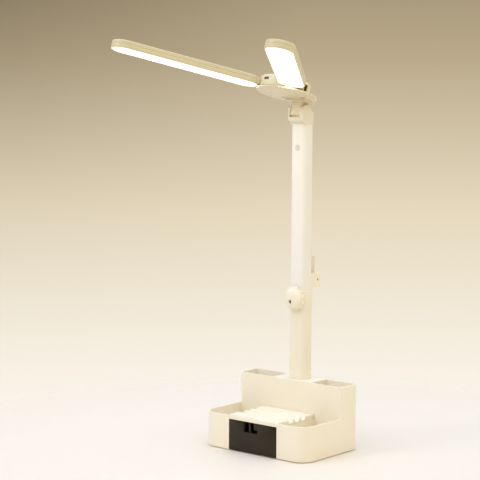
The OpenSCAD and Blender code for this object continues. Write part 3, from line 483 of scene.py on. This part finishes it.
def eyelet_distance(x, z):
    """How far a point of the knob's face lies from the eyelet's middle. The share along X counts more, which
    makes the eyelet slim and tall."""
    return np.hypot((x - eyelet_reach * math.cos(eyelet_turn)) * eyelet_slim,
                    z - eyelet_reach * math.sin(eyelet_turn))


def knob_surface():
    """Rings of a profile (radius r, height h) turned about -Y. The grip's radius is drawn in by
    depth * max(0, cos(n a))**2 at each scallop. The crown is a quarter of an ellipse that sinks by a smooth
    step where the eyelet is, inside a low rounded lip."""
    low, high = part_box("clamp_knob")
    centre = np.array([(low.x + high.x) / 2, high.y, (low.z + high.z) / 2])
    shoulder, crown_start = knob_radius - knob_edge, knob_radius - crown_inset
    quarter = np.linspace(0, np.pi / 2, edge_points)
    run, rise = knob_edge * np.cos(quarter), knob_edge * np.sin(quarter)
    back = [(0, 0), (knob_radius / 2, 0), (shoulder, 0)]
    lower = np.column_stack([shoulder + rise, knob_edge - run])[1:]
    upper = np.column_stack([shoulder + run, knob_grip - knob_edge + rise])
    arch = np.linspace(0, np.pi / 2, crown_points)
    crown = np.column_stack([crown_start * np.cos(arch), knob_grip + knob_crown * np.sin(arch)])
    r, h = np.vstack([back, lower, upper, crown]).T
    angle = np.linspace(0, 2 * np.pi, knob_points, endpoint=False)[:, None]
    grip = np.clip((r - crown_start * flute_start) / (knob_radius - crown_start), 0, 1)
    scallop = np.clip(np.cos(flute_count * angle), 0, None) ** 2 * flute_depth
    radius = r - grip * scallop
    x, z = radius * np.cos(angle), radius * np.sin(angle)
    away = eyelet_distance(x, z)
    hole = 1 / (1 + np.exp((away - eyelet_radius) / eyelet_slope))
    lip = np.exp(-(((away - lip_radius) / lip_width) ** 2))
    front = (h > knob_grip).astype(float)
    height = h + front * (lip_height * lip - eyelet_depth * hole)
    return np.stack([centre[0] + x, centre[1] - height, centre[2] + z], axis=-1), centre


knob_grid, knob_centre = knob_surface()


def in_eyelet(points):
    """Index of the painted shade finish, near black, for faces inside the eyelet, and of the ivory one for
    the others.
    """
    away = eyelet_distance(points[:, 0] - knob_centre[0], points[:, 2] - knob_centre[2])
    return ((away < eyelet_radius) & (points[:, 1] < knob_centre[1] - knob_grip / 2)).astype(np.int32)


# The eyelet's inner faces take the near-black painted shade finish.
knob = moulded_skin("clamp_knob_skin", knob_grid, "knob", [ivory_abs, eyelet_painted_shade],
                    face_finish=in_eyelet)
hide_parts("clamp_knob")
dress(zinc_steel, "clamp_screw")


# Touch key and indicator
# A round grey key reaches through the upper tube's front from a small board behind it, and above it a
# light pipe shows the charge.
key_grey = moulded_plastic("key_grey", (0.74, 0.67, 0.56, 1.0), (0.70, 0.63, 0.52, 1.0),
                           rough=0.45, cloud=20 * mm, grain=0.3 * mm, depth=0.01 * mm)
dress(key_grey, "touch_key")


def opal_light(name, colour, strength, shown):
    """Opal plastic lit from behind: the glow carries faint soft mottles from the dots of the light guide.
    It lights the lamp with its strength, and the camera sees the shown strength, so its edges stay
    soft."""
    mottle, opal_body = 0.97, (0.93, 0.90, 0.84, 1.0)
    finish = bpy.data.materials.new(name)
    add, join = shader_tree(finish)
    place = add("ShaderNodeTexCoord")
    dots = add("ShaderNodeTexNoise", Scale=220.0, Detail=1.0)
    join(place.outputs["Object"], dots.inputs["Vector"])
    dimmer = (*(mottle * c for c in colour[:3]), 1.0)
    glow = colour_ramp(add, [(noise_low, dimmer), (noise_high, colour)])
    join(dots.outputs["Fac"], glow.inputs[0])
    body = add("ShaderNodeBsdfPrincipled", Roughness=0.35)
    body.inputs["Base Color"].default_value = opal_body
    path = add("ShaderNodeLightPath")
    level = remap(add, 0.0, 1.0, strength, shown)
    join(path.outputs["Is Camera Ray"], level.inputs["Value"])
    join(level.outputs[0], body.inputs["Emission Strength"])
    join(glow.outputs["Color"], body.inputs["Emission Color"])
    join(body.outputs[0], add("ShaderNodeOutputMaterial").inputs["Surface"])
    return finish


pilot_glow = opal_light("pilot_glow", (0.55, 0.45, 0.32, 1.0), strength=0.3, shown=0.3)
dress(pilot_glow, "indicator_light")


# Folding hook
# A small ivory ABS bracket, screwed to the upper tube's back, holds a hook arm of the same plastic on a
# steel pin.
softened("hook_bracket", "mast", ivory_abs, edge=0.4 * mm)
softened("hook_arm", "hook", ivory_abs, edge=0.6 * mm)
dress(zinc_steel, "bracket_screws")
dress(ballast_steel, "hook_pin")


# Fork and tilt joint
# The fork is a pearl ABS moulding that plugs into the upper tube. The hub's tongue turns in it on a steel
# pin, under flush caps.
pearl_abs = satin_abs("pearl_abs", (0.81, 0.735, 0.60, 1.0), (0.79, 0.71, 0.57, 1.0), rough=0.40)
softened("post_head", "mast", pearl_abs, edge=0.5 * mm)
dress(pearl_abs, "pin_caps")
dress(zinc_steel, "head_screws", "tilt_pin", "friction_washers")


# Hub
# Two champagne ABS mouldings are screwed together: a disc with the tongue under it, and a low round cover
# over it. A dark sensor window sits in the side, and bronzed shoulder screws carry the wings.
champagne_light, champagne_dark = (0.780, 0.675, 0.470, 1.0), (0.750, 0.645, 0.440, 1.0)
champagne_abs = satin_abs("champagne_abs", champagne_light, champagne_dark, rough=0.40)
cover_abs = satin_abs("cover_abs", (0.835, 0.730, 0.485, 1.0), (0.805, 0.700, 0.455, 1.0), rough=0.38)
bronzed_steel = drawn_metal("bronzed_steel", (0.56, 0.47, 0.31, 1.0), rough=0.50, streak=0.4 * mm)
window_brown = moulded_plastic("window_brown", (0.115, 0.085, 0.048, 1.0), (0.095, 0.070, 0.040, 1.0),
                               rough=0.30, cloud=8 * mm, grain=0.3 * mm, depth=0.005 * mm, gloss=0.3)
softened("hub_base", "head", champagne_abs, edge=0.5 * mm)
softened("hub_cover", "head", cover_abs, edge=0.8 * mm, steps=4)
dress(bronzed_steel, "hub_screws", "wing_pivots")
dress(window_brown, "sensor_window")


# Light wings
# Each wing is a frame and a cover clipped together round an opal diffuser, a light guide and its board.
# Both swivel in the hub's own plane on shoulder screws, so their place follows from those two joints.
joints = {joint["name"]: joint for joint in frame["joints"]}
wing_length, wing_width, wing_height, wing_lift = 197.5 * mm, 36 * mm, 10.3 * mm, 2.7 * mm
wing_gap, wing_spread, pivot_height = 19 * mm, math.radians(32), 8 * mm
seam_height, seam_depth, seam_width, seam_share = 5.36 * mm, 0.35 * mm, 0.5 * mm, 0.4
wing_wall, cover_edge = 1.6 * mm, 1.6 * mm
opal_thick, opal_edge, opal_air, opal_step = 1.5 * mm, 0.3 * mm, 0.1 * mm, 0.15 * mm
half_circle_points = 33


def wing_frame_map(side):
    """A call that takes points of a wing, drawn flat along -Y from its pivot, to their place on the lamp:
    turned outward by the spread, then tipped into the hub's plane. side is -1 for left, 1 for right."""
    joint = joints["right_wing_swivel" if side > 0 else "left_wing_swivel"]
    up = np.array(joint["axis"], float) * side
    up /= np.linalg.norm(up)
    back = np.array([0.0, up[2], -up[1]])
    origin = np.array(joint["pos_m"], float) - pivot_height * up
    c, s = math.cos(wing_spread), math.sin(wing_spread)

    def place(points):
        x, y, z = points[..., 0], points[..., 1], points[..., 2]
        across, along = c * x - s * y, s * x + c * y
        return (origin + (side * across)[..., None] * np.array([1.0, 0, 0]) + along[..., None] * back
                + z[..., None] * up)

    return place


def stadium_surface(profile):
    """A profile of (inset, height) pairs carried round the wing's outline, which is two half circles joined
    by straight lines."""
    radius = wing_width / 2
    near, far = -wing_gap - radius, -wing_gap - wing_length + radius
    half = np.linspace(0, np.pi, half_circle_points)
    turn = np.concatenate([half, half + np.pi])
    middle = np.repeat([near, far], half_circle_points)
    reach = radius - profile[:, 0]
    x = np.cos(turn)[:, None] * reach
    y = middle[:, None] + np.sin(turn)[:, None] * reach
    z = np.broadcast_to(profile[:, 1], x.shape)
    return np.stack([x, y, z], axis=-1)


def rounded_corner(inset, height, radius, start, end, steps):
    """Points of an arc about (inset, height): radius times (cos a, sin a), from one angle to the other, in
    degrees."""
    a = np.radians(np.linspace(start, end, steps))
    return np.column_stack([inset + radius * np.cos(a), height + radius * np.sin(a)])


def wing_cover_profile():
    """Closed outline of the cover's wall: flat roof, rounded shoulder, side down to the seam, then back up
    inside."""
    top, low = wing_lift + wing_height, wing_lift + seam_height
    roof = [(wing_width / 2, top), (wing_width / 4, top)]
    shoulder = rounded_corner(cover_edge, top - cover_edge, cover_edge, 90, 180, steps=8)
    side = [(0, low + seam_width), (seam_depth, low + seam_width * seam_share), (seam_depth, low)]
    inside = [(wing_wall, low), (wing_wall, top - wing_wall), (wing_width / 2, top - wing_wall)]
    return np.vstack([roof, shoulder, side, inside])


def opal_profile():
    """Closed outline of the diffuser: a flat plate with a rounded lower edge, a small step above the frame's
    lower rim."""
    low, rim = wing_lift + opal_step, wing_wall + opal_air
    under = [(wing_width / 2, low), (wing_width / 4, low)]
    corner = rounded_corner(rim + opal_edge, low + opal_edge, opal_edge, 270, 180, steps=4)
    return np.vstack([under, corner, [(rim, low + opal_thick), (wing_width / 2, low + opal_thick)]])


opal_lit = opal_light("opal_lit", (0.96, 0.98, 1.0, 1.0), strength=6.5, shown=0.9)
clear_guide = moulded_plastic("clear_guide", (0.90, 0.91, 0.92, 1.0), (0.87, 0.88, 0.89, 1.0),
                              rough=0.10, cloud=10 * mm, grain=1.0 * mm, depth=0.01 * mm, coat=0.5)
white_mask = moulded_plastic("white_mask", (0.86, 0.86, 0.84, 1.0), (0.82, 0.82, 0.80, 1.0),
                             rough=0.40, cloud=8 * mm, grain=0.5 * mm, depth=0.02 * mm)
wing_abs = satin_abs("wing_abs", (0.725, 0.622, 0.395, 1.0), (0.695, 0.592, 0.368, 1.0), rough=0.40)
for side, name in ((-1, "left"), (1, "right")):
    place = wing_frame_map(side)
    body = name + "_wing"
    cover_grid = place(stadium_surface(wing_cover_profile()))
    cover = moulded_skin(name + "_wing_cover_skin", cover_grid, body, [wing_abs])
    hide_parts(name + "_wing_cover")
    opal_grid = place(stadium_surface(opal_profile()))
    opal = moulded_skin(name + "_opal", opal_grid, body, [opal_lit])
    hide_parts(name + "_diffuser")
    softened(name + "_wing_frame", body, wing_abs, edge=0.5 * mm)
    dress(clear_guide, name + "_light_guide")
    dress(white_mask, name + "_led_board")
